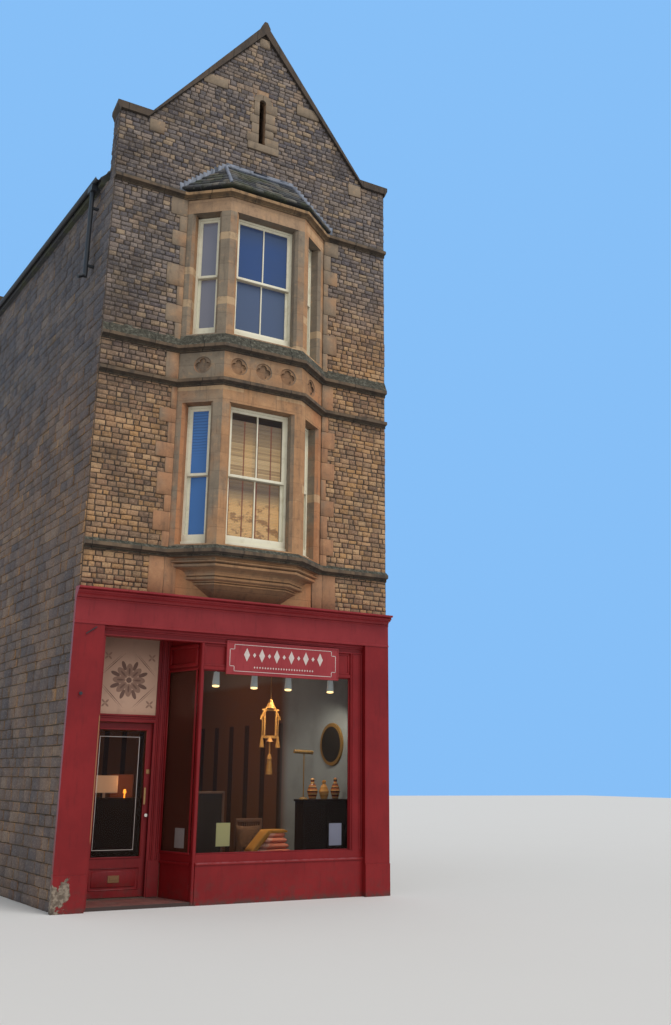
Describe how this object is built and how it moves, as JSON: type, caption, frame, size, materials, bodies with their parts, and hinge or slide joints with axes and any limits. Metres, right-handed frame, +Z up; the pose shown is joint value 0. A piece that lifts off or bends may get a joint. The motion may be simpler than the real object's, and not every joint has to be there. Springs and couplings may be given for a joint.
{
  "type": "shop building",
  "caption": "Narrow gabled stone house in a row: a tall canted oriel bay stands over a red shopfront with a recessed glazed door.",
  "frame": {"origin": "pavement level under the middle of the street front, on the foot of the shop's stallriser", "axes": "+Z up, the street front faces -Y, +X to the right as seen from the street"},
  "size_m": [6.6641, 9.033, 15.66],
  "materials": {
    "rubble": "coursed squared rubble with sandy mortar",
    "ashlar": "weathered dressed limestone",
    "cream_paint": "aged cream gloss paint",
    "glass": "clear",
    "floor_boards": "worn boards",
    "concrete": "trowelled",
    "red_tile": "worn quarry tile",
    "slate": "mossy stone slate",
    "ridge_tile": "matt",
    "iron": "dark paint",
    "brass": "dull",
    "red_paint": "satin paint, worn"
  },
  "bodies": {
    "building": {"ground_floor": "concrete", "lobby_floor": "red_tile", "left_party_wall": "rubble", "right_party_wall": "rubble", "front_piers": "rubble", "shop_beam": "rubble", "front_wall_left": "rubble", "front_wall_right": "rubble", "front_gable": "rubble", "slit_surround": "ashlar", "gable_coping": "ashlar", "rear_wall_sides": "rubble", "rear_wall_middle": "rubble", "rear_gable": "rubble", "rear_coping": "ashlar", "rear_sashes": "cream_paint", "rear_glass": "glass", "first_floor": "floor_boards", "second_floor": "floor_boards", "attic_floor": "floor_boards", "roof_left": "slate", "roof_right": "slate", "roof_ridge": "ridge_tile", "gutters": "iron", "downpipe": "iron", "string_a": "ashlar", "string_b": "ashlar", "string_c": "ashlar", "string_d": "ashlar", "bay_corbel": "ashlar", "bay_lower_piers": "ashlar", "bay_middle_band": "ashlar", "bay_upper_piers": "ashlar", "bay_head": "ashlar", "bay_roof": "slate", "lower_sashes": "cream_paint", "lower_glass": "glass", "upper_sashes": "cream_paint", "upper_glass": "glass", "pilasters": "red_paint", "fascia": "red_paint", "shop_cornice": "red_paint", "sign_board": "red_paint", "head_rail": "red_paint", "window_posts": "red_paint", "window_rails": "red_paint", "stallriser": "red_paint", "side_frame": "red_paint", "side_stallriser": "red_paint", "shop_glass": "glass", "lobby_lining": "red_paint", "lobby_ceiling": "red_paint", "door_posts": "red_paint", "door_head": "red_paint", "over_door_panel": "cream_paint"},
    "door_leaf": {"shop_door": "red_paint", "door_glass": "glass", "door_fittings": "brass"}
  },
  "joints": [
    {"name": "door_hinge", "type": "hinge", "parent": "building", "child": "door_leaf", "pos_m": [-2.061, 0.86611, 0], "axis": [0, 0, 1], "range_deg": [0, 90]}
  ]
}
